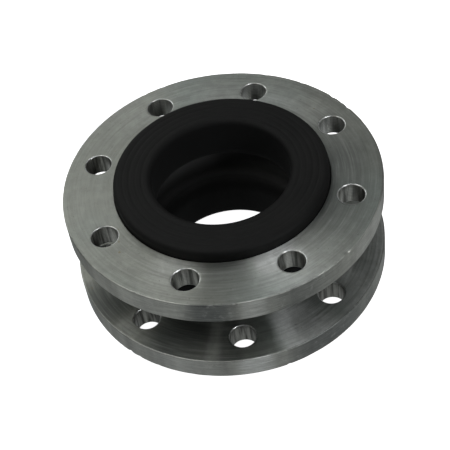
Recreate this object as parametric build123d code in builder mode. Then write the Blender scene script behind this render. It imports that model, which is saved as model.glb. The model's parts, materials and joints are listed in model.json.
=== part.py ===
from build123d import *
import math
import os

# Single-arch rubber expansion joint for a DN100 pipe line, with two loose steel flanges.
# +Z runs up the bore axis, and the origin is the centre of the lower sealing face.
# All sizes are in millimetres.

# ---- Driving dimensions ----

# Flanges, drilled to DN100 PN16
flange_diameter = 220.0
flange_thickness = 16.5
flange_bore_diameter = 118.0
bolt_circle_diameter = 180.0
bolt_hole_diameter = 18.0
bolt_hole_count = 8
bolt_hole_chamfer = 0.7
rim_chamfer = 1.0
seat_depth = 11.0
seat_corner_radius = 5.0
seat_mouth_chamfer = 0.4
seat_lip_radius = 1.5
back_lip_radius = 2.5
upper_first_hole_angle = 22.5
lower_first_hole_angle = -2.5

# Rubber body
face_to_face = 94.0
bore_diameter = 95.0
bore_lip_radius = 4.0
collar_diameter = 148.0
collar_proud = 9.0
collar_shoulder_radius = 4.0
heel_radius = 5.5
neck_corner_radius = 2.0
arch_diameter = 156.0
mouth_radius = 13.0

# Layers of the wall, from the bore outwards
liner_thickness = 3.4
ply_count = 4
ply_thickness = 0.7
cover_thickness = 3.8
bond_gap = 0.05

# Beads
face_rubber = 2.8
side_rubber = 2.0
heel_rubber = 1.5
carcass_corner_radius = 7.0
ply_end_radius = 59.5
apex_height = 26.0
wire_diameter = 1.8
wire_spacing = 1.84
outer_wire_count = 6

# Fits between the rubber and the loose flanges
seat_side_clearance = 0.5
seat_floor_clearance = 0.4
arch_clearance = 2.0

# ---- Worked-out dimensions ----
# A section point is (radius, height above the mid-plane), drawn for the upper half.

half_height = face_to_face / 2
bore_radius = bore_diameter / 2
collar_radius = collar_diameter / 2
carcass_thickness = ply_count * ply_thickness
wall_thickness = liner_thickness + carcass_thickness + cover_thickness
half_bond = bond_gap / 2

flange_face = half_height - collar_proud
flange_back = flange_face - flange_thickness
seat_floor = flange_face - seat_depth
seat_radius = collar_radius + seat_side_clearance
flange_bore_radius = flange_bore_diameter / 2

# The arch is round in section, and a rounded mouth joins it to each neck.
arch_outer_radius = flange_back - arch_clearance
arch_inner_radius = arch_outer_radius - wall_thickness
arch_centre = Vector(arch_diameter / 2 - arch_outer_radius, 0)
mouth_offset = bore_radius + mouth_radius - arch_centre.X
mouth_height = math.sqrt((mouth_radius + arch_inner_radius) ** 2 - mouth_offset**2)
mouth_centre = arch_centre + Vector(mouth_offset, mouth_height)
mouth_angle = math.degrees(math.atan2(mouth_height, mouth_offset))

# The plies run up the neck, turn out over the bead wires and come back under them.
bead_bottom = seat_floor + seat_floor_clearance
carcass_top = half_height - face_rubber
turn_radius = (carcass_top - bead_bottom - heel_rubber) / 2
bead_centre = Vector(collar_radius - side_rubber - turn_radius, carcass_top - turn_radius)
corner_centre = Vector(
    bore_radius + liner_thickness + carcass_corner_radius,
    carcass_top - carcass_corner_radius,
)


def section_plane(side):
    """The plane of a section through the axis: its heights point up for side 1, down for side -1."""
    return Plane(origin=(0, 0, half_height), x_dir=(1, 0, 0), z_dir=(0, -side, 0))


def around(centre, radius, angle):
    """The section point at a radius and an angle, in degrees, round a centre."""
    turn = math.radians(angle)
    return centre + Vector(radius * math.cos(turn), radius * math.sin(turn))


def arc(centre, radius, start, end):
    """Draws an arc round a centre from one angle to another and returns its end point."""
    middle = (start + end) / 2
    points = [around(centre, radius, angle) for angle in (start, middle, end)]
    ThreePointArc(*points)
    return points[-1]


def draw_arch(depth):
    """Draws the face at that depth from the bore, from the mid-plane to the neck it ends on."""
    arc(arch_centre, arch_inner_radius + depth, 0, mouth_angle)
    return arc(mouth_centre, mouth_radius - depth, 180 + mouth_angle, 180)


def draw_mid_plane(inner_depth, outer_depth):
    """Draws the edge between two faces where the half section meets the mid-plane."""
    inner, outer = arch_inner_radius + inner_depth, arch_inner_radius + outer_depth
    Line(arch_centre + Vector(inner, 0), arch_centre + Vector(outer, 0))


def draw_carcass(depth, neck_point):
    """Draws a carcass face from a point on the neck to where the plies end, under the bead."""
    inset = depth - liner_thickness
    Line(neck_point, around(corner_centre, carcass_corner_radius - inset, 180))
    corner_end = arc(corner_centre, carcass_corner_radius - inset, 180, 90)
    Line(corner_end, around(bead_centre, turn_radius - inset, 90))
    turn_end = arc(bead_centre, turn_radius - inset, 90, -90)
    ply_end = Vector(ply_end_radius, turn_end.Y)
    Line(turn_end, ply_end)
    return ply_end


def make_liner():
    """Inner tube: the bore, the inside of the arch and both sealing faces."""
    depth = liner_thickness - half_bond
    lip_centre = Vector(bore_radius + bore_lip_radius, half_height - bore_lip_radius)
    shoulder_centre = Vector(
        collar_radius - collar_shoulder_radius, half_height - collar_shoulder_radius
    )
    collar_foot = Vector(collar_radius, bead_centre.Y + half_bond)
    turn_foot = Vector(bead_centre.X + turn_radius + half_bond, collar_foot.Y)
    with BuildPart() as liner:
        with BuildSketch(section_plane(1)):
            with BuildLine():
                Line(draw_arch(0), around(lip_centre, bore_lip_radius, 180))
                lip_end = arc(lip_centre, bore_lip_radius, 180, 90)
                Line(lip_end, around(shoulder_centre, collar_shoulder_radius, 90))
                shoulder_end = arc(shoulder_centre, collar_shoulder_radius, 90, 0)
                Polyline(shoulder_end, collar_foot, turn_foot)
                turn_middle = around(bead_centre, turn_radius + half_bond, 45)
                turn_end = around(bead_centre, turn_radius + half_bond, 90)
                ThreePointArc(turn_foot, turn_middle, turn_end)
                corner_radius = carcass_corner_radius + half_bond
                Line(turn_end, around(corner_centre, corner_radius, 90))
                neck_point = arc(corner_centre, corner_radius, 90, 180)
                Line(neck_point, draw_arch(depth))
                draw_mid_plane(0, depth)
            make_face()
            mirror(about=Plane.XZ)
        revolve(axis=Axis.Z)
    return liner.part


def make_ply(number):
    """One nylon cord ply, numbered from the bore outwards."""
    inner_depth = liner_thickness + (number - 1) * ply_thickness + half_bond
    outer_depth = liner_thickness + number * ply_thickness - half_bond
    with BuildPart() as ply:
        with BuildSketch(section_plane(1)):
            with BuildLine():
                inner_end = draw_carcass(inner_depth, draw_arch(inner_depth))
                outer_end = draw_carcass(outer_depth, draw_arch(outer_depth))
                Line(inner_end, outer_end)
                draw_mid_plane(inner_depth, outer_depth)
            make_face()
            mirror(about=Plane.XZ)
        revolve(axis=Axis.Z)
    return ply.part


def make_cover():
    """Outer cover: the outside of the arch, the necks in the flanges and the bead heels."""
    depth = liner_thickness + carcass_thickness + half_bond
    apex = Vector(bore_radius + depth, apex_height - half_bond)
    under_ply_ends = bead_centre.Y - turn_radius + carcass_thickness - half_bond
    ply_end = ply_end_radius - half_bond
    under_bead = around(bead_centre, turn_radius + half_bond, -90)
    heel_centre = Vector(collar_radius - heel_radius, bead_bottom + heel_radius)
    neck_corner = Vector(
        bore_radius + wall_thickness + neck_corner_radius, bead_bottom - neck_corner_radius
    )
    with BuildPart() as cover:
        with BuildSketch(section_plane(1)):
            with BuildLine():
                Line(draw_arch(depth), apex)
                Polyline(
                    apex,
                    Vector(ply_end, under_ply_ends),
                    Vector(ply_end, under_bead.Y),
                    under_bead,
                )
                turn_end = arc(bead_centre, turn_radius + half_bond, -90, 0)
                Polyline(
                    turn_end,
                    Vector(collar_radius, bead_centre.Y),
                    around(heel_centre, heel_radius, 0),
                )
                heel_end = arc(heel_centre, heel_radius, 0, -90)
                Line(heel_end, around(neck_corner, neck_corner_radius, 90))
                neck_point = arc(neck_corner, neck_corner_radius, 90, 180)
                Line(neck_point, draw_arch(wall_thickness))
                draw_mid_plane(depth, wall_thickness)
            make_face()
            mirror(about=Plane.XZ)
        revolve(axis=Axis.Z)
    return cover.part


def make_bead_filler(side):
    """Hard rubber round the bead wires, tapering down between the plies and the cover."""
    depth = liner_thickness + carcass_thickness + half_bond
    apex = Vector(bore_radius + depth, apex_height + half_bond)
    tunnel_radius = wire_spacing + wire_diameter / 2 + bond_gap
    with BuildPart() as filler:
        with BuildSketch(section_plane(side)):
            with BuildLine():
                Line(draw_carcass(depth, apex), apex)
            make_face()
            with Locations(bead_centre):
                Circle(tunnel_radius, mode=Mode.SUBTRACT)
        revolve(axis=Axis.Z)
    return filler.part


def make_bead_wires(side):
    """Bead hoop: one closed turn of steel wire in the middle and six round it."""
    with BuildPart() as wires:
        with BuildSketch(section_plane(side)):
            with Locations(bead_centre):
                Circle(wire_diameter / 2)
                with PolarLocations(wire_spacing, outer_wire_count):
                    Circle(wire_diameter / 2)
        revolve(axis=Axis.Z)
    return wires.part


def make_flange(side, first_hole_angle):
    """Loose plate flange with a seat for the bead in its outer face."""
    rim_radius = flange_diameter / 2
    seat_edge = (seat_radius, flange_face)
    bore_edge = (flange_bore_radius, seat_floor)
    with BuildPart() as flange:
        with BuildSketch(section_plane(side)) as section:
            with BuildLine():
                Polyline(
                    (flange_bore_radius, flange_back),
                    (rim_radius, flange_back),
                    (rim_radius, flange_face),
                    seat_edge,
                    (seat_radius, seat_floor),
                    bore_edge,
                    close=True,
                )
            make_face()
            chamfer(section.vertices().group_by(Axis.X)[-1], rim_chamfer)
            chamfer(section.vertices().sort_by_distance(seat_edge)[0], seat_mouth_chamfer)
            fillet(
                section.vertices().sort_by_distance((seat_radius, seat_floor))[0],
                seat_corner_radius,
            )
            fillet(section.vertices().sort_by_distance(bore_edge)[0], seat_lip_radius)
            fillet(
                section.vertices().sort_by_distance((flange_bore_radius, flange_back))[0],
                back_lip_radius,
            )
        revolve(axis=Axis.Z)
        middle = half_height + side * (flange_face + flange_back) / 2
        with BuildSketch(Plane.XY.offset(middle)):
            with PolarLocations(
                bolt_circle_diameter / 2, bolt_hole_count, start_angle=first_hole_angle
            ):
                Circle(bolt_hole_diameter / 2)
        extrude(amount=flange_thickness, both=True, mode=Mode.SUBTRACT)
        hole_edges = flange.edges().filter_by(
            lambda edge: edge.geom_type == GeomType.CIRCLE
            and abs(edge.radius - bolt_hole_diameter / 2) < bolt_hole_chamfer / 2
        )
        chamfer(hole_edges, bolt_hole_chamfer)
    return flange.part


# ---- The pieces, each in its own file ----

pieces = {
    "upper_flange": make_flange(1, upper_first_hole_angle),
    "lower_flange": make_flange(-1, lower_first_hole_angle),
    "inner_liner": make_liner(),
    "outer_cover": make_cover(),
    "upper_bead_wires": make_bead_wires(1),
    "lower_bead_wires": make_bead_wires(-1),
    "upper_bead_filler": make_bead_filler(1),
    "lower_bead_filler": make_bead_filler(-1),
}
for number in range(1, ply_count + 1):
    pieces[f"cord_ply_{number}"] = make_ply(number)

os.makedirs("parts", exist_ok=True)
for name, piece in pieces.items():
    piece.label = name
    export_step(piece, f"parts/{name}.step")
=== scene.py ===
import json
import math
import random

import bmesh
import bpy
from mathutils import Matrix, Vector, noise

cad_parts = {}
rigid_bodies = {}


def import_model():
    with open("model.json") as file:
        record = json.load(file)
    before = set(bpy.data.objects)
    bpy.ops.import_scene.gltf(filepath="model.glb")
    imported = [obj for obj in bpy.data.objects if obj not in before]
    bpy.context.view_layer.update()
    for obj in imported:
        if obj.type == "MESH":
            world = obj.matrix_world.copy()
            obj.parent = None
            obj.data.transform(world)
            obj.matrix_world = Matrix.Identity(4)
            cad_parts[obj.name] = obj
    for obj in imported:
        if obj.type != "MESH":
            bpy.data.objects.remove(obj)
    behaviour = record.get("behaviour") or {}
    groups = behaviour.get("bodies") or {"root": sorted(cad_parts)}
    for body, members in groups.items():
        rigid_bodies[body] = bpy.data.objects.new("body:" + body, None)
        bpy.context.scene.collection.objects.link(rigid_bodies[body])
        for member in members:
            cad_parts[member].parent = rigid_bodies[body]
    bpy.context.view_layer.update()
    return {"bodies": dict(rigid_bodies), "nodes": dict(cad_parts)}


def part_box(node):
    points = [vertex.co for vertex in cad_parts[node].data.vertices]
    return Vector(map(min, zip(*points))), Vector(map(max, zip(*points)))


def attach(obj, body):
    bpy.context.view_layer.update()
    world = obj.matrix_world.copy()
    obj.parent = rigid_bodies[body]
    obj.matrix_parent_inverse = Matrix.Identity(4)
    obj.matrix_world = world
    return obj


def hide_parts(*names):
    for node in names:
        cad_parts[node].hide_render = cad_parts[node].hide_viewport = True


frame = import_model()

# Rubber expansion joint: two loose turned-steel flanges on a moulded rubber bellows.
# Lengths are in millimetres until a mesh is written, and +Z runs up the bore.

MM = 0.001
rng = random.Random(7)

# ---- Sizes, the same as the CAD model's apart from RIM_EDGE, a rounding of 0.8 for its chamfer of 1.0 ----

RIM_RADIUS = 110.0
RIM_EDGE = 0.8
SEAT_RADIUS = 74.5
SEAT_MOUTH = 0.4
SEAT_DEPTH = 11.0
SEAT_CORNER = 5.0
SEAT_LIP = 1.5
FLANGE_BORE = 59.0
BACK_LIP = 2.5
BOLT_CIRCLE_RADIUS = 90.0
HOLE_RADIUS = 9.0
HOLE_EDGE = 0.7
HOLES = 8
UPPER_FIRST_HOLE = 22.5
LOWER_FIRST_HOLE = -2.5

BORE = 47.5
BORE_LIP = 4.0
COLLAR = 74.0
COLLAR_SHOULDER = 4.0
HEEL = 5.5
NECK_CORNER = 2.0
ARCH = 78.0
ARCH_CLEARANCE = 2.0
MOUTH = 13.0
SEAT_FLOOR_CLEARANCE = 0.4
LINER = 3.4
PLY = 0.7
PLIES = 4
COVER = 3.8
BOND = 0.05
FACE_RUBBER = 2.8
SIDE_RUBBER = 2.0
HEEL_RUBBER = 1.5
CARCASS_CORNER = 7.0
PLY_END = 59.5
APEX = 26.0

# ---- Heights, read from the frame ----


def z_range(node):
    lo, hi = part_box(node)
    return lo.z / MM, hi.z / MM


BOTTOM, TOP = z_range("inner_liner")
LOWER_FACE, LOWER_BACK = z_range("lower_flange")
UPPER_BACK, UPPER_FACE = z_range("upper_flange")
MIDDLE = (BOTTOM + TOP) / 2
HALF = (TOP - BOTTOM) / 2
WALL = LINER + PLIES * PLY + COVER
ARCH_OUTER = (UPPER_BACK - LOWER_BACK) / 2 - ARCH_CLEARANCE
ARCH_INNER = ARCH_OUTER - WALL
ARCH_CENTRE = Vector((ARCH - ARCH_OUTER, 0.0))
MOUTH_OFFSET = BORE + MOUTH - ARCH_CENTRE.x
MOUTH_HEIGHT = math.sqrt((MOUTH + ARCH_INNER) ** 2 - MOUTH_OFFSET**2)
MOUTH_CENTRE = ARCH_CENTRE + Vector((MOUTH_OFFSET, MOUTH_HEIGHT))
MOUTH_ANGLE = math.degrees(math.atan2(MOUTH_HEIGHT, MOUTH_OFFSET))
BEAD_BOTTOM = UPPER_FACE - SEAT_DEPTH - MIDDLE + SEAT_FLOOR_CLEARANCE
CARCASS_TOP = HALF - FACE_RUBBER
TURN = (CARCASS_TOP - BEAD_BOTTOM - HEEL_RUBBER) / 2
BEAD_CENTRE = Vector((COLLAR - SIDE_RUBBER - TURN, CARCASS_TOP - TURN))
CORNER_CENTRE = Vector((BORE + LINER + CARCASS_CORNER, CARCASS_TOP - CARCASS_CORNER))

# ---- Section drawing: points are (radius, height above the middle) ----


def polar(centre, radius, angle):
    turn = math.radians(angle)
    return Vector((centre.x + radius * math.cos(turn), centre.y + radius * math.sin(turn)))


def arc(centre, radius, start, end, steps):
    span = end - start
    return [polar(centre, radius, start + span * i / steps) for i in range(steps + 1)]


def run(a, b, steps):
    return [a.lerp(b, i / steps) for i in range(1, steps)]


def joined(*parts):
    """Runs of points end to end, without the points that two runs share."""
    points = []
    for part in parts:
        for p in part:
            if not points or (p - points[-1]).length > 1e-4:
                points.append(p)
    return points


def arch_face(depth, steps=30):
    """The wall's face at a depth from the bore, from the middle of the arch up to the neck."""
    swell = arc(ARCH_CENTRE, ARCH_INNER + depth, 0, MOUTH_ANGLE, steps)
    mouth = arc(MOUTH_CENTRE, MOUTH - depth, 180 + MOUTH_ANGLE, 180, steps // 2)
    return joined(swell, mouth)


def carcass_face(depth, steps=16):
    """A ply's face from the neck over the bead to where the ply ends."""
    inset = depth - LINER
    corner = arc(CORNER_CENTRE, CARCASS_CORNER - inset, 180, 90, steps)
    turn = arc(BEAD_CENTRE, TURN - inset, 90, -90, steps * 2)
    return joined(corner, turn, [Vector((PLY_END, turn[-1].y))])


def mirrored(half):
    """A closed outline from its upper half, which starts and ends on the middle."""
    lower = [Vector((p.x, -p.y)) for p in reversed(half[1:-1])]
    return half + lower


# ---- Meshes ----


def make_object(name, verts, faces, sharp_angle, finishes=None):
    mesh = bpy.data.meshes.new(name)
    mesh.from_pydata([tuple(c * MM for c in v) for v in verts], [], faces)
    if finishes:
        for _ in range(max(finishes) + 1):
            mesh.materials.append(None)
        mesh.polygons.foreach_set("material_index", finishes)
    mesh.validate()
    bm = bmesh.new()
    bm.from_mesh(mesh)
    bmesh.ops.remove_doubles(bm, verts=bm.verts, dist=1e-6)
    bmesh.ops.recalc_face_normals(bm, faces=bm.faces)
    bm.to_mesh(mesh)
    bm.free()
    mesh.shade_smooth()
    mesh.set_sharp_from_angle(angle=math.radians(sharp_angle))
    obj = bpy.data.objects.new(name, mesh)
    bpy.context.scene.collection.objects.link(obj)
    return obj


def lathe(name, outline, around, relief=None, sharp_angle=40):
    """A closed outline turned about the bore; relief(radius, angle, height) moves a point outwards and up."""
    verts, faces = [], []
    count = len(outline)
    for i in range(around):
        turn = 2 * math.pi * i / around
        c, s = math.cos(turn), math.sin(turn)
        for p in outline:
            r, h = p.x, p.y
            if relief:
                dr, dh = relief(r, turn, h)
                r, h = r + dr, h + dh
            verts.append((r * c, r * s, MIDDLE + h))
    for i in range(around):
        a, b = i * count, (i + 1) % around * count
        for j in range(count):
            k = (j + 1) % count
            faces.append((a + j, b + j, b + k, a + k))
    return make_object(name, verts, faces, sharp_angle)


# ---- Flanges ----

OUTER_STEPS = 96
INNER_STEPS = 40
SIDE_STEPS = 24
RING_SHARES = (0.0, 0.05, 0.13, 0.25, 0.4, 0.56, 0.72, 0.86, 0.95, 1.0)
SECTOR = 2 * math.pi / HOLES
TURNED, RIM, DRILLED, EDGE = range(4)

# Wear on the rims: how far in it reaches, how far an edge's unevenness spreads and goes, and how a dent sinks.
WORN_BAND = 6.0
EDGE_REACH = 1.2
EDGE_UNEVENNESS = 0.10
EDGE_WAVES = 14.0
DENT_SINK = 0.6

# Dents are (angle in radians, size, depth): the three that stand out at the front, and ranges for the rest.
FRONT_NICKS = ((-0.87, 1.6, 0.7), (-1.62, 1.2, 0.5), (0.62, 2.0, 0.5))
NICKS = 16
NICK_SIZES = (0.9, 2.2)
NICK_DEPTHS = (0.15, 0.45)


def at(r, angle, t=0.0):
    return Vector((r * math.cos(angle), r * math.sin(angle), t))


def sector_outline(middle, inner, outer, t):
    """One hole's share of a plate face, as points round it, with the outer and inner arcs' steps."""
    a, b = middle - SECTOR / 2, middle + SECTOR / 2
    points = [at(outer, a + (b - a) * i / OUTER_STEPS, t) for i in range(OUTER_STEPS)]
    points += [at(outer + (inner - outer) * i / SIDE_STEPS, b, t) for i in range(SIDE_STEPS)]
    points += [at(inner, b + (a - b) * i / INNER_STEPS, t) for i in range(INNER_STEPS)]
    points += [at(inner + (outer - inner) * i / SIDE_STEPS, a, t) for i in range(SIDE_STEPS)]
    return points


def hole_ring(middle, angles, radius, t):
    centre = at(BOLT_CIRCLE_RADIUS, middle, t)
    return [centre + Vector((radius * math.cos(w), radius * math.sin(w), 0)) for w in angles]


def edge_round(centre_r, centre_t, radius, start, end, steps=3):
    return [(p.x, p.y) for p in arc(Vector((centre_r, centre_t)), radius, start, end, steps)]


def make_flange(name, face, back, first_hole, nicks):
    """A plate flange between two heights, with its holes cut through and nicks along its outer rim.

    In here heights are above the back, which faces the gap.
    """
    out = 1.0 if face > back else -1.0
    thick = abs(face - back)
    floor = thick - SEAT_DEPTH
    verts, faces, finishes = [], [], []

    def band(rings, finish=TURNED):
        base = len(verts)
        count = len(rings[0])
        for ring in rings:
            verts.extend(ring)
        for i in range(len(rings) - 1):
            for j in range(count):
                k = (j + 1) % count
                a, b = base + i * count, base + (i + 1) * count
                faces.append((a + j, a + k, b + k, b + j))
                finishes.append(finish)

    for number in range(HOLES):
        middle = math.radians(first_hole) + SECTOR * number
        centre = at(BOLT_CIRCLE_RADIUS, middle)
        face_outline = sector_outline(middle, SEAT_RADIUS + SEAT_MOUTH, RIM_RADIUS - RIM_EDGE, thick)
        back_outline = sector_outline(middle, FLANGE_BORE + BACK_LIP, RIM_RADIUS - RIM_EDGE, 0.0)
        for outline, level in ((face_outline, thick), (back_outline, 0.0)):
            angles = [math.atan2(p.y - centre.y, p.x - centre.x) for p in outline]
            ring = hole_ring(middle, angles, HOLE_RADIUS + HOLE_EDGE, level)
            band([[a.lerp(b, share) for a, b in zip(ring, outline)] for share in RING_SHARES])
        angles = [math.atan2(p.y - centre.y, p.x - centre.x) for p in face_outline]
        face_edge = edge_round(HOLE_RADIUS + HOLE_EDGE, thick - HOLE_EDGE, HOLE_EDGE, 90, 180)
        back_edge = edge_round(HOLE_RADIUS + HOLE_EDGE, HOLE_EDGE, HOLE_EDGE, 180, 270)
        wall = [face_edge[-1], *[(HOLE_RADIUS, thick * i / 6) for i in (5, 4, 3, 2, 1)], back_edge[0]]
        for profile, finish in ((face_edge, EDGE), (wall, DRILLED), (back_edge, EDGE)):
            band([hole_ring(middle, angles, r, t) for r, t in profile], finish)

    start = math.radians(first_hole) - SECTOR / 2
    face_edge = edge_round(RIM_RADIUS - RIM_EDGE, thick - RIM_EDGE, RIM_EDGE, 90, 0)
    back_edge = edge_round(RIM_RADIUS - RIM_EDGE, RIM_EDGE, RIM_EDGE, 0, -90)
    rim = [face_edge[-1], *[(RIM_RADIUS, thick * i / 12) for i in range(11, 0, -1)], back_edge[0]]
    steps = OUTER_STEPS * HOLES
    for profile in (face_edge, rim, back_edge):
        band([[at(r, start + 2 * math.pi * i / steps, t) for i in range(steps)] for r, t in profile], RIM)

    inside = edge_round(FLANGE_BORE + BACK_LIP, BACK_LIP, BACK_LIP, 270, 180, 5)
    inside += edge_round(FLANGE_BORE + SEAT_LIP, floor - SEAT_LIP, SEAT_LIP, 180, 90, 4)
    inside += edge_round(SEAT_RADIUS - SEAT_CORNER, floor + SEAT_CORNER, SEAT_CORNER, -90, 0, 8)
    inside += [(SEAT_RADIUS, thick - SEAT_MOUTH), (SEAT_RADIUS + SEAT_MOUTH, thick)]
    steps = INNER_STEPS * HOLES
    band([[at(r, start + 2 * math.pi * i / steps, t) for i in range(steps)] for r, t in inside])

    def worn(p):
        """Small dents along the rim's face edge, and rim edges that aren't quite even."""
        r = math.hypot(p.x, p.y)
        if r < RIM_RADIUS - WORN_BAND:
            return p
        angle = math.atan2(p.y, p.x)
        edge = thick if p.z > thick / 2 else 0.0
        near = math.exp(-(((RIM_RADIUS - r) / EDGE_REACH) ** 2) - ((p.z - edge) / EDGE_REACH) ** 2)
        push = EDGE_UNEVENNESS * near * noise.noise(at(EDGE_WAVES, angle, edge + face))
        for nick_angle, size, depth in nicks:
            along = (angle - nick_angle + math.pi) % (2 * math.pi) - math.pi
            reach = math.exp(-((along * RIM_RADIUS / size) ** 2) - ((RIM_RADIUS - r) / size) ** 2)
            if edge > 0:
                push += depth * reach * math.exp(-(((p.z - edge) / size) ** 2))
        inward = 1.0 - push / max(r, 1.0)
        sink = DENT_SINK * push
        return Vector((p.x * inward, p.y * inward, p.z + (sink if edge == 0.0 else -sink)))

    placed = []
    for p in map(worn, verts):
        placed.append((p.x, p.y, back + out * p.z))
    obj = make_object(name, placed, faces, 35, finishes)
    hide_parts(name.replace("_plate", ""))
    return obj


def random_nicks(count):
    return [
        (rng.uniform(-math.pi, math.pi), rng.uniform(*NICK_SIZES), rng.uniform(*NICK_DEPTHS))
        for _ in range(count)
    ]


upper_plate = make_flange(
    "upper_flange_plate", UPPER_FACE, UPPER_BACK, UPPER_FIRST_HOLE,
    [*FRONT_NICKS, *random_nicks(NICKS)],
)
lower_plate = make_flange(
    "lower_flange_plate", LOWER_FACE, LOWER_BACK, LOWER_FIRST_HOLE, random_nicks(NICKS)
)

# ---- Rubber body, layer by layer ----

AROUND = 216
HIDDEN_AROUND = 144
RING_GROOVES = ((54.2, 0.9, 0.18), (58.6, 0.7, 0.10), (63.0, 0.9, 0.18), (67.2, 0.7, 0.14))  # radius, width, depth
UNEVENNESS = 0.16
GRAIN = 0.03
MOULDED_SHARE = 0.6
FLASH_HEIGHT = 0.35
FLASH_WIDTH = 0.7
half_bond = BOND / 2


def face_marks(r):
    """How far a sealing face is lowered at a radius by its moulded ring grooves."""
    depth = 0.0
    for ring, width, cut in RING_GROOVES:
        depth -= cut * math.exp(-(((r - ring) / width) ** 2))
    return depth


def moulded(r, turn, h):
    """The slight unevenness of moulded rubber, on the sealing faces and the outsides of the body."""
    if abs(h) < CARCASS_TOP + 0.6 and r < COLLAR - 0.6:
        return 0.0, 0.0
    uneven = UNEVENNESS * noise.noise(at(r * 0.05, turn, h * 0.05) + Vector((3.1, 5.7, math.copysign(9, h))))
    relief = uneven + GRAIN * noise.noise(at(r * 0.5, turn, h * 0.5))
    on_face = abs(h) > HALF - 1
    return relief * MOULDED_SHARE, (relief - UNEVENNESS) * math.copysign(MOULDED_SHARE, h) * on_face


def liner_outline():
    lip_centre = Vector((BORE + BORE_LIP, HALF - BORE_LIP))
    shoulder = Vector((COLLAR - COLLAR_SHOULDER, HALF - COLLAR_SHOULDER))
    bore_start = Vector((BORE, MOUTH_CENTRE.y))
    bore_end = polar(lip_centre, BORE_LIP, 180)
    face = run(Vector((BORE + BORE_LIP, HALF)), Vector((shoulder.x, HALF)), 64)
    face = [Vector((p.x, p.y + face_marks(p.x))) for p in face]
    foot = Vector((COLLAR, BEAD_CENTRE.y + half_bond))
    turn_foot = Vector((BEAD_CENTRE.x + TURN + half_bond, foot.y))
    return mirrored(joined(
        arch_face(0),
        run(bore_start, bore_end, 8),
        arc(lip_centre, BORE_LIP, 180, 90, 10),
        face,
        arc(shoulder, COLLAR_SHOULDER, 90, 0, 10),
        run(Vector((COLLAR, shoulder.y)), foot, 6),
        [foot, turn_foot],
        arc(BEAD_CENTRE, TURN + half_bond, 2, 90, 10),
        arc(CORNER_CENTRE, CARCASS_CORNER + half_bond, 90, 180, 10),
        list(reversed(arch_face(LINER - half_bond))),
    ))


def ply_outline(number):
    inner = LINER + (number - 1) * PLY + half_bond
    outer = LINER + number * PLY - half_bond
    there = joined(arch_face(inner), carcass_face(inner))
    back = joined(arch_face(outer), carcass_face(outer))
    return mirrored(there + list(reversed(back)))


def cover_outline():
    depth = LINER + PLIES * PLY + half_bond
    under_ends = BEAD_CENTRE.y - TURN + PLIES * PLY - half_bond
    ply_end = PLY_END - half_bond
    under_bead = polar(BEAD_CENTRE, TURN + half_bond, -90)
    heel = Vector((COLLAR - HEEL, BEAD_BOTTOM + HEEL))
    neck = Vector((BORE + WALL + NECK_CORNER, BEAD_BOTTOM - NECK_CORNER))
    swell = arch_face(WALL)
    flash = [Vector((p.x + FLASH_HEIGHT * math.exp(-((p.y / FLASH_WIDTH) ** 2)), p.y)) for p in swell]
    return mirrored(joined(
        arch_face(depth),
        [Vector((BORE + depth, APEX - half_bond)), Vector((ply_end, under_ends))],
        [Vector((ply_end, under_bead.y)), under_bead],
        arc(BEAD_CENTRE, TURN + half_bond, -90, 0, 12),
        [Vector((COLLAR, BEAD_CENTRE.y))],
        arc(heel, HEEL, 0, -90, 8),
        arc(neck, NECK_CORNER, 90, 180, 5),
        list(reversed(flash)),
    ))


layers = {"inner_liner": liner_outline(), "outer_cover": cover_outline()}
for number in range(1, PLIES + 1):
    layers[f"cord_ply_{number}"] = ply_outline(number)
rubber_pieces = {}
for node, outline in layers.items():
    hidden = node.startswith("cord")
    if hidden:
        piece = lathe(f"{node}_layer", outline, HIDDEN_AROUND)
    else:
        piece = lathe(f"{node}_layer", outline, AROUND, moulded)
    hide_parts(node)
    rubber_pieces[node] = piece


def bend_with_upper_end(piece):
    """The layer follows the upper end above the gap and the lower end below it, and bends in between."""
    group = piece.vertex_groups.new(name="upper_end")
    for v in piece.data.vertices:
        share = (v.co.z / MM - LOWER_BACK) / (UPPER_BACK - LOWER_BACK)
        share = min(max(share, 0.0), 1.0)
        group.add([v.index], share * share * (3 - 2 * share), "REPLACE")
    hook = piece.modifiers.new("bellows", "HOOK")
    hook.object = frame["bodies"]["upper_end"]
    hook.vertex_group = group.name
    hook.matrix_inverse = Matrix.Identity(4)
    hook.falloff_type = "NONE"


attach(upper_plate, "upper_flange")
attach(lower_plate, "lower_flange")
for piece in rubber_pieces.values():
    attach(piece, "lower_end")
    bend_with_upper_end(piece)

# ---- Materials ----

# Colours that the painted reflection fans mix in: a painted highlight and a painted shade.
PAINTED_HIGHLIGHT = (0.80, 0.81, 0.80)
PAINTED_SHADE = (0.085, 0.095, 0.10)


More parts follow.
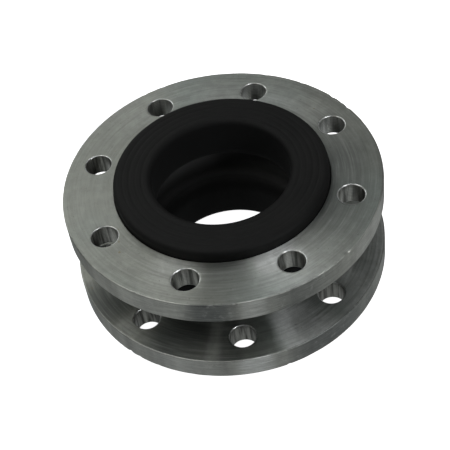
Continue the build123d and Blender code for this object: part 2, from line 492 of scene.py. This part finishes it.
class Shader:
    """A material's node tree, with short ways to add nodes to it."""

    def __init__(self, name, base, roughness, metallic):
        self.material = bpy.data.materials.new(name)
        self.material.use_nodes = True
        self.tree = self.material.node_tree
        self.bsdf = self.tree.nodes["Principled BSDF"]
        self.bsdf.inputs["Base Color"].default_value = (*base, 1)
        self.bsdf.inputs["Roughness"].default_value = roughness
        self.bsdf.inputs["Metallic"].default_value = metallic
        self.place = self.add("ShaderNodeTexCoord").outputs["Object"]

    def add(self, kind, **settings):
        node = self.tree.nodes.new(kind)
        for key, value in settings.items():
            setattr(node, key, value)
        return node

    def link(self, output, socket):
        self.tree.links.new(output, socket)

    def math(self, operation, *values):
        node = self.add("ShaderNodeMath", operation=operation)
        for socket, value in zip(node.inputs, values):
            if isinstance(value, (int, float)):
                socket.default_value = value
            else:
                self.link(value, socket)
        return node.outputs[0]

    def noise(self, scale, detail=4.0, rough=0.55, place=None):
        node = self.add("ShaderNodeTexNoise")
        node.inputs["Scale"].default_value = scale
        node.inputs["Detail"].default_value = detail
        node.inputs["Roughness"].default_value = rough
        self.link(place or self.place, node.inputs["Vector"])
        return node.outputs["Fac"]

    def ramp(self, value, low, high, to_low=0.0, to_high=1.0):
        node = self.add("ShaderNodeMapRange")
        self.link(value, node.inputs["Value"])
        ends = {"From Min": low, "From Max": high, "To Min": to_low, "To Max": to_high}
        for key, number in ends.items():
            node.inputs[key].default_value = number
        return node.outputs["Result"]

    def mix(self, share, a, b):
        node = self.add("ShaderNodeMix", data_type="RGBA")
        self.link(share, node.inputs["Factor"])
        for socket, value in ((node.inputs[6], a), (node.inputs[7], b)):
            if isinstance(value, tuple):
                socket.default_value = (*value, 1)
            else:
                self.link(value, socket)
        return node.outputs[2]

    def bump(self, height, distance, strength=1.0, after=None):
        node = self.add("ShaderNodeBump")
        node.inputs["Strength"].default_value = strength
        node.inputs["Distance"].default_value = distance
        self.link(height, node.inputs["Height"])
        if after:
            self.link(after, node.inputs["Normal"])
        return node.outputs["Normal"]

    def across(self):
        """x, y and the distance from the bore's axis."""
        parts = self.add("ShaderNodeSeparateXYZ")
        self.link(self.place, parts.inputs[0])
        x, y = parts.outputs[0], parts.outputs[1]
        square = self.math("ADD", self.math("MULTIPLY", x, x), self.math("MULTIPLY", y, y))
        return x, y, self.math("SQRT", square)

    def height(self):
        parts = self.add("ShaderNodeSeparateXYZ")
        self.link(self.place, parts.inputs[0])
        return parts.outputs[2]

    def round_place(self, across, along):
        """Coordinates stretched along the turning direction: fine across it, slow along it."""
        x, y, radius = self.across()
        z = self.height()
        safe = self.math("MAXIMUM", radius, 0.001)
        joined_up = self.add("ShaderNodeCombineXYZ")
        depth = self.math("ADD", self.math("MULTIPLY", radius, across), self.math("MULTIPLY", z, across * 0.83))
        self.link(depth, joined_up.inputs[0])
        self.link(self.math("MULTIPLY", self.math("DIVIDE", x, safe), along), joined_up.inputs[1])
        self.link(self.math("MULTIPLY", self.math("DIVIDE", y, safe), along), joined_up.inputs[2])
        return joined_up.outputs[0]

    def sector(self, angle, half_width):
        """1 along one direction from the bore, fading to 0 at half_width degrees either side."""
        x, y, radius = self.across()
        turn = math.radians(angle)
        along_x = self.math("MULTIPLY", x, math.cos(turn))
        along = self.math("ADD", along_x, self.math("MULTIPLY", y, math.sin(turn)))
        cosine = self.math("DIVIDE", along, self.math("MAXIMUM", radius, 0.001))
        node = self.add("ShaderNodeMapRange", interpolation_type="SMOOTHSTEP")
        self.link(cosine, node.inputs["Value"])
        node.inputs["From Min"].default_value = math.cos(math.radians(half_width))
        node.inputs["From Max"].default_value = 1.0
        return node.outputs["Result"]

    def painted_light_fans(self, colour, painted_fans, streaks, fade=None):
        """Painted reflection fans, each (angle, half width, share): painted highlight where the share is above 0,
        painted shade where it is below.
        """
        for angle, half_width, share in painted_fans:
            ends = (0.6 * abs(share), abs(share)) if share > 0 else (abs(share), 0.6 * abs(share))
            amount = self.math("MULTIPLY", self.sector(angle, half_width), self.ramp(streaks, 0.3, 0.7, *ends))
            if fade is not None:
                amount = self.math("MULTIPLY", amount, fade)
            colour = self.mix(amount, colour, PAINTED_HIGHLIGHT if share > 0 else PAINTED_SHADE)
        return colour

    def finish(self, colour=None, roughness=None, normal=None):
        for socket, value in (("Base Color", colour), ("Roughness", roughness), ("Normal", normal)):
            if value is not None:
                self.link(value, self.bsdf.inputs[socket])
        return self.material


def turned_steel(name, tint, dark, painted_fans, outer_share):
    """A lathe-turned, zinc-plated face: turning marks, cloudy plating, scratches, specks, and painted reflection fans
    of highlight and shade.

    outer_share is how much of each fan's painted highlight or painted shade is left at the plate's outer edge.
    """
    s = Shader(name, tint, 0.4, 0.92)
    marks = s.noise(1.0, 6.0, 0.62, s.round_place(2600.0, 5.0))
    coarse = s.noise(1.0, 4.0, 0.6, s.round_place(620.0, 2.2))
    clouds = s.noise(26.0, 6.0, 0.65)
    patches = s.noise(9.0, 2.0, 0.5)
    specks = s.noise(520.0, 3.0, 0.7)
    speck_mask = s.ramp(specks, 0.64, 0.74)
    rust = s.ramp(s.noise(210.0, 2.0, 0.5), 0.74, 0.78)
    colour = s.mix(s.ramp(clouds, 0.36, 0.66), dark, tint)
    bluish = tuple(c * k for c, k in zip(tint, (0.88, 1.04, 1.10)))
    colour = s.mix(s.ramp(patches, 0.44, 0.66, 0.0, 0.4), colour, bluish)
    radius = s.across()[2]
    fade = s.ramp(radius, 84 * MM, 104 * MM, 1.0, outer_share)
    # Painted highlight and painted shade in fans round the bore, standing in for reflections.
    colour = s.painted_light_fans(colour, painted_fans, coarse, fade)
    colour = s.mix(s.ramp(coarse, 0.34, 0.52, 0.22, 0.0), colour, (0.12, 0.12, 0.11))
    colour = s.mix(s.ramp(coarse, 0.52, 0.68, 0.0, 0.13), colour, (0.72, 0.74, 0.72))
    mottle = s.noise(150.0, 5.0, 0.7)
    colour = s.mix(s.ramp(mottle, 0.42, 0.62, 0.22, 0.0), colour, (0.15, 0.155, 0.145))
    colour = s.mix(s.ramp(marks, 0.36, 0.64, 0.22, 0.0), colour, (0.16, 0.16, 0.145))
    colour = s.mix(s.math("MULTIPLY", speck_mask, 0.5), colour, (0.08, 0.08, 0.075))
    colour = s.mix(s.math("MULTIPLY", rust, 0.6), colour, (0.26, 0.20, 0.10))
    rough = s.math("ADD", s.ramp(clouds, 0.3, 0.7, 0.36, 0.48), s.ramp(coarse, 0.3, 0.7, -0.05, 0.07))
    normal = s.bump(marks, 0.00006, 0.6)
    normal = s.bump(coarse, 0.00010, 0.4, normal)
    normal = s.bump(s.math("MULTIPLY", speck_mask, -1.0), 0.00010, 0.6, normal)
    tangent = s.add("ShaderNodeTangent", direction_type="RADIAL", axis="Z")
    s.link(tangent.outputs[0], s.bsdf.inputs["Tangent"])
    s.bsdf.inputs["Anisotropic"].default_value = 0.7
    s.bsdf.inputs["Anisotropic Rotation"].default_value = 0.25
    return s.finish(colour, rough, normal)


def rim_steel(name, tint, dark, painted_fans):
    """The skimmed outer edge of a plate: lines along it, slow random changes of tone round it, painted highlight and
    painted shade in listed directions, and specks of mill scale.
    """
    s = Shader(name, tint, 0.45, 0.9)
    lengths = s.noise(1.0, 4.0, 0.55, s.round_place(6.0, 5.0))
    lines = s.noise(1.0, 5.0, 0.65, s.round_place(1100.0, 7.0))
    scuffs = s.noise(240.0, 5.0, 0.7)
    specks = s.noise(1100.0, 3.0, 0.7)
    speck_mask = s.ramp(specks, 0.60, 0.72)
    colour = s.mix(s.ramp(lengths, 0.34, 0.66), dark, tint)
    # Painted highlight and painted shade on the rim in the listed directions.
    colour = s.painted_light_fans(colour, painted_fans, lines)
    colour = s.mix(s.ramp(lines, 0.36, 0.62, 0.38, 0.0), colour, (0.14, 0.14, 0.13))
    colour = s.mix(s.ramp(scuffs, 0.54, 0.72, 0.0, 0.3), colour, (0.70, 0.70, 0.67))
    colour = s.mix(s.math("MULTIPLY", speck_mask, 0.45), colour, (0.07, 0.07, 0.065))
    rough = s.math("ADD", s.ramp(lengths, 0.3, 0.7, 0.50, 0.36), s.ramp(lines, 0.3, 0.7, -0.05, 0.07))
    normal = s.bump(lines, 0.00010, 0.6)
    normal = s.bump(s.math("MULTIPLY", speck_mask, -1.0), 0.00012, 0.6, normal)
    return s.finish(colour, rough, normal)


def drilled_steel(name, dull, bright, painted_fans=()):
    """A drilled hole's wall: rings left by the drill, bright where it rubbed and dull elsewhere, plus painted
    highlight and painted shade on walls in listed directions.
    """
    s = Shader(name, bright, 0.3, 0.95)
    rings = s.math("SINE", s.math("MULTIPLY", s.height(), 4200.0))
    uprights = s.add("ShaderNodeMapping")
    uprights.inputs["Scale"].default_value = (330.0, 330.0, 24.0)
    s.link(s.place, uprights.inputs["Vector"])
    streaks = s.noise(1.0, 3.0, 0.6, uprights.outputs[0])
    colour = s.mix(s.ramp(streaks, 0.40, 0.60), dull, bright)
    # Painted highlight and painted shade on the hole walls in the listed directions.
    colour = s.painted_light_fans(colour, painted_fans, streaks)
    colour = s.mix(s.ramp(rings, -1.0, 0.2, 0.3, 0.0), colour, (0.12, 0.12, 0.11))
    normal = s.bump(rings, 0.00008, 0.6)
    return s.finish(colour, s.ramp(streaks, 0.3, 0.7, 0.46, 0.28), normal)


def edge_steel(name):
    """Edges rubbed bright by handling, where the plating has worn thin."""
    s = Shader(name, (0.74, 0.75, 0.74), 0.34, 0.95)
    rubbed = s.noise(160.0, 4.0, 0.65)
    colour = s.mix(s.ramp(rubbed, 0.38, 0.60), (0.34, 0.34, 0.32), (0.86, 0.87, 0.86))
    return s.finish(colour, s.ramp(rubbed, 0.3, 0.7, 0.42, 0.26), s.bump(rubbed, 0.00010, 0.5))


# Painted light in the arch's pocket, where the rubber lies in deep shade, is full up to the first height from the
# middle, and gone at the second.
POCKET_DEEP = 2.0
POCKET_EDGE = 12.0


def rubber(name, base, dusty, grain, rough_low, rough_high, pocket_painted_light=None):
    """Moulded rubber: fine grain, faint concentric streaks, and a thin film of bloom except in the bore.

    The last argument is a colour painted into the arch's pocket as light, where the rubber lies in deep shade.
    """
    s = Shader(name, base, 0.6, 0.0)
    radius = s.across()[2]
    outside = s.ramp(radius, BORE * MM, (BORE + BORE_LIP) * MM)
    film = s.noise(26.0, 5.0, 0.6)
    streaks = s.noise(1.0, 4.0, 0.6, s.round_place(700.0, 2.5))
    fine = s.noise(grain, 3.0, 0.6)
    colour = s.mix(s.ramp(film, 0.42, 0.72, 0.0, 0.7), base, dusty)
    colour = s.mix(s.ramp(streaks, 0.55, 0.7, 0.0, 0.4), colour, dusty)
    # Painted light: the pocket is lightened where it lies in deep shade.
    if pocket_painted_light:
        from_middle = s.math("ABSOLUTE", s.math("SUBTRACT", s.height(), MIDDLE * MM))
        pocket = s.ramp(from_middle, POCKET_DEEP * MM, POCKET_EDGE * MM, 1.0, 0.0)
        colour = s.mix(pocket, colour, pocket_painted_light)
    colour = s.mix(outside, (0.0042, 0.0042, 0.0043), colour)
    rough = s.math("ADD", s.ramp(film, 0.3, 0.7, rough_low, rough_high), s.ramp(outside, 0.0, 1.0, 0.2, 0.0))
    normal = s.bump(fine, 0.00012, 0.5)
    normal = s.bump(streaks, 0.00016, 0.45, normal)
    s.bsdf.inputs["Specular IOR Level"].default_value = 0.18
    return s.finish(colour, rough, normal)


def cord(name):
    """Rubberised cord fabric: parallel cords at a slant, seen through a skin of rubber."""
    s = Shader(name, (0.5, 0.44, 0.32), 0.7, 0.0)
    x, y, _ = s.across()
    turn = s.math("ARCTAN2", y, x)
    slant = s.math("ADD", s.math("MULTIPLY", turn, 380.0), s.math("MULTIPLY", s.height(), 5200.0))
    cords = s.math("SINE", slant)
    body = s.noise(240.0, 3.0, 0.6)
    colour = s.mix(s.ramp(cords, -0.6, 0.7), (0.05, 0.045, 0.04), (0.56, 0.49, 0.36))
    colour = s.mix(s.ramp(body, 0.4, 0.65, 0.0, 0.4), colour, (0.1, 0.09, 0.08))
    normal = s.bump(cords, 0.0002, 0.7)
    return s.finish(colour, s.ramp(body, 0.3, 0.7, 0.6, 0.82), normal)


def wire(name):
    """Bronze-coated drawn wire."""
    s = Shader(name, (0.58, 0.42, 0.26), 0.32, 1.0)
    drawn = s.noise(1.0, 4.0, 0.6, s.round_place(5200.0, 9.0))
    worn = s.noise(90.0, 3.0, 0.6)
    colour = s.mix(s.ramp(worn, 0.4, 0.65), (0.60, 0.43, 0.27), (0.50, 0.47, 0.42))
    return s.finish(colour, s.ramp(drawn, 0.3, 0.7, 0.24, 0.42), s.bump(drawn, 0.00003, 0.5))


# Each (angle, half width, share) list below is painted reflection: painted highlight where the share is above 0,
# painted shade where it is below.
upper_face = turned_steel(
    "upper_turned_steel", (0.418, 0.428, 0.394), (0.328, 0.338, 0.308),
    (
        (288, 15, 0.95), (303, 9, 0.15), (264, 12, -0.6), (338, 38, -0.62),
        (12, 25, -0.6), (45, 22, 0.35), (242, 15, 0.4), (75, 25, 0.35),
    ),
    0.25,
)
lower_face = turned_steel(
    "lower_turned_steel", (0.46, 0.47, 0.425), (0.33, 0.335, 0.30),
    (
        (203, 15, -0.85), (220, 6, 0.35), (241, 17, -0.85), (256, 4, 0.3), (262, 6, -0.7),
        (293, 15, 0.95), (330, 28, 0.95), (358, 20, 0.7),
    ),
    1.0,
)
upper_rim = rim_steel(
    "upper_rim_steel", (0.58, 0.585, 0.54), (0.31, 0.312, 0.29),
    (
        (204, 9, -0.25), (240, 16, 0.2), (258, 11, -1.0), (273, 6, 0.5),
        (290, 16, -0.6), (325, 14, 0.25), (346, 14, -0.35),
    ),
)
lower_rim = rim_steel(
    "lower_rim_steel", (0.58, 0.585, 0.55), (0.32, 0.322, 0.305),
    ((244, 16, 0.3), (271, 8, 1.0), (300, 20, -0.9), (318, 14, -0.5), (344, 18, -0.6)),
)
# The upper holes' walls towards 67 degrees get a painted highlight.
upper_hole = drilled_steel(
    "upper_drilled_steel", (0.16, 0.16, 0.15), (0.66, 0.66, 0.63), ((67, 75, 0.75),)
)
# The lower holes' walls are a darker copy of the drilled steel: painted shade where they lie under the upper flange.
shaded_lower_hole = drilled_steel("lower_drilled_steel_painted_shade", (0.055, 0.055, 0.05), (0.33, 0.33, 0.31))
worn_edge = edge_steel("worn_edge_steel")
# The liner's last colour is painted light for the arch's pocket.
liner_rubber = rubber(
    "liner_rubber", (0.0046, 0.0046, 0.0046), (0.0112, 0.0110, 0.0107), 2600.0, 0.52, 0.68, (0.10, 0.10, 0.10)
)
cover_rubber = rubber("cover_rubber", (0.0068, 0.0068, 0.007), (0.016, 0.016, 0.0165), 2200.0, 0.58, 0.74)
bead_rubber = rubber("hard_rubber", (0.020, 0.019, 0.018), (0.040, 0.038, 0.036), 1500.0, 0.62, 0.78)
cord_fabric = cord("cord_fabric")
bronze_wire = wire("bronze_wire")


def paint(obj, material):
    obj.data.materials.clear()
    obj.data.materials.append(material)


for plate, chosen in (
    (upper_plate, (upper_face, upper_rim, upper_hole, worn_edge)),
    (lower_plate, (lower_face, lower_rim, shaded_lower_hole, worn_edge)),
):
    for number, material in enumerate(chosen):
        plate.data.materials[number] = material
for node, piece in rubber_pieces.items():
    chosen = {"inner_liner": liner_rubber, "outer_cover": cover_rubber}.get(node, cord_fabric)
    paint(piece, chosen)
for node, chosen in (
    ("upper_bead_wires", bronze_wire),
    ("lower_bead_wires", bronze_wire),
    ("upper_bead_filler", bead_rubber),
    ("lower_bead_filler", bead_rubber),
):
    for material_slot in frame["nodes"][node].material_slots:
        material_slot.material = chosen

# ---- Studio ----

FLOOR_RADIUS = 5.0
FLOOR_CURVE = 1.5
FLOOR_WALL = 5.0
bpy.context.scene.view_settings.view_transform = "Standard"


def make_floor():
    """A pale floor that curves up into a wall all round; only the camera sees it, so it lights nothing."""
    outline = [(0.0, 0.0), (FLOOR_RADIUS - FLOOR_CURVE, 0.0)]
    centre = Vector((FLOOR_RADIUS - FLOOR_CURVE, FLOOR_CURVE))
    outline += [(p.x, p.y) for p in arc(centre, FLOOR_CURVE, -90, 0, 12)[1:]]
    outline.append((FLOOR_RADIUS, FLOOR_WALL))
    ground = (BOTTOM - 0.05) * MM
    steps = 64
    turns = [2 * math.pi * i / steps for i in range(steps)]
    verts = [(0.0, 0.0, ground)]
    for r, h in outline[1:]:
        verts += [(r * math.cos(turn), r * math.sin(turn), ground + h) for turn in turns]
    faces = [(0, 1 + i, 1 + (i + 1) % steps) for i in range(steps)]
    for ring in range(len(outline) - 2):
        a, b = 1 + ring * steps, 1 + (ring + 1) * steps
        faces += [(a + i, a + (i + 1) % steps, b + (i + 1) % steps, b + i) for i in range(steps)]
    mesh = bpy.data.meshes.new("floor")
    mesh.from_pydata(verts, [], faces)
    obj = bpy.data.objects.new("floor", mesh)
    bpy.context.scene.collection.objects.link(obj)
    s = Shader("pale_floor", (0.92, 0.92, 0.92), 0.9, 0.0)
    s.bsdf.inputs["Specular IOR Level"].default_value = 0.1
    s.bsdf.inputs["Emission Color"].default_value = (1, 1, 1, 1)
    s.bsdf.inputs["Emission Strength"].default_value = 1.0
    obj.data.materials.append(s.material)
    obj.visible_glossy = False
    obj.visible_diffuse = False
    obj.visible_shadow = False


def soft_light(name, place, size, power, tint=(1.0, 1.0, 1.0)):
    """A rectangular soft box that faces the object's middle."""
    lamp = bpy.data.lights.new(name, "AREA")
    lamp.shape = "RECTANGLE"
    lamp.size, lamp.size_y = size
    lamp.energy = power
    lamp.color = tint
    obj = bpy.data.objects.new(name, lamp)
    obj.location = place
    toward = Vector((0, 0, MIDDLE * MM)) - obj.location
    obj.rotation_euler = toward.to_track_quat("-Z", "Y").to_euler()
    bpy.context.scene.collection.objects.link(obj)


make_floor()
soft_light("back_left_box", (-0.56, 1.0, 0.95), (1.25, 0.85), 3.5, (0.98, 1.0, 0.975))
soft_light("left_box", (-0.55, -0.10, 1.10), (0.85, 0.5), 3.0, (0.99, 1.0, 0.96))
soft_light("top_strip", (0.29, 0.0, 1.25), (0.9, 0.13), 2.1, (0.97, 0.985, 1.0))
soft_light("front_right_box", (0.72, -0.88, 0.60), (0.22, 0.5), 4.2, (0.97, 0.99, 1.0))

world = bpy.data.worlds.new("studio")
bpy.context.scene.world = world
world.use_nodes = True
background = world.node_tree.nodes["Background"]
sky = world.node_tree.nodes.new("ShaderNodeTexCoord").outputs["Generated"]
height = world.node_tree.nodes.new("ShaderNodeSeparateXYZ")
fade = world.node_tree.nodes.new("ShaderNodeMapRange")
world.node_tree.links.new(sky, height.inputs[0])
world.node_tree.links.new(height.outputs["Z"], fade.inputs["Value"])
for key, number in (("From Min", -0.35), ("From Max", 0.25), ("To Min", 0.34), ("To Max", 0.14)):
    fade.inputs[key].default_value = number
world.node_tree.links.new(fade.outputs["Result"], background.inputs["Strength"])
background.inputs["Color"].default_value = (0.96, 1.0, 0.99, 1)

# ---- Camera ----

CAMERA_DISTANCE = 0.8225
CAMERA_ELEVATION = math.radians(45.2)
CAMERA_AZIMUTH = math.radians(-1.1)
CAMERA_ROLL = math.radians(-9.15)
CAMERA_LENS = 96.3
AIM = Vector((-3.3, -42.5, UPPER_FACE)) * MM


def make_camera():
    data = bpy.data.cameras.new("camera")
    data.lens = CAMERA_LENS
    data.sensor_width = 36.0
    obj = bpy.data.objects.new("camera", data)
    level = math.cos(CAMERA_ELEVATION)
    away = Vector((
        math.sin(CAMERA_AZIMUTH) * level, -math.cos(CAMERA_AZIMUTH) * level, math.sin(CAMERA_ELEVATION)
    ))
    place = Vector((0, 0, UPPER_FACE * MM)) + away * CAMERA_DISTANCE
    ahead = (AIM - place).normalized()
    right = ahead.cross(Vector((0, 0, 1))).normalized()
    up = right.cross(ahead)
    x = right * math.cos(CAMERA_ROLL) + up * math.sin(CAMERA_ROLL)
    y = up * math.cos(CAMERA_ROLL) - right * math.sin(CAMERA_ROLL)
    turn = Matrix((x, y, -ahead)).transposed().to_4x4()
    obj.matrix_world = Matrix.Translation(place) @ turn
    bpy.context.scene.collection.objects.link(obj)
    bpy.context.scene.camera = obj


make_camera()
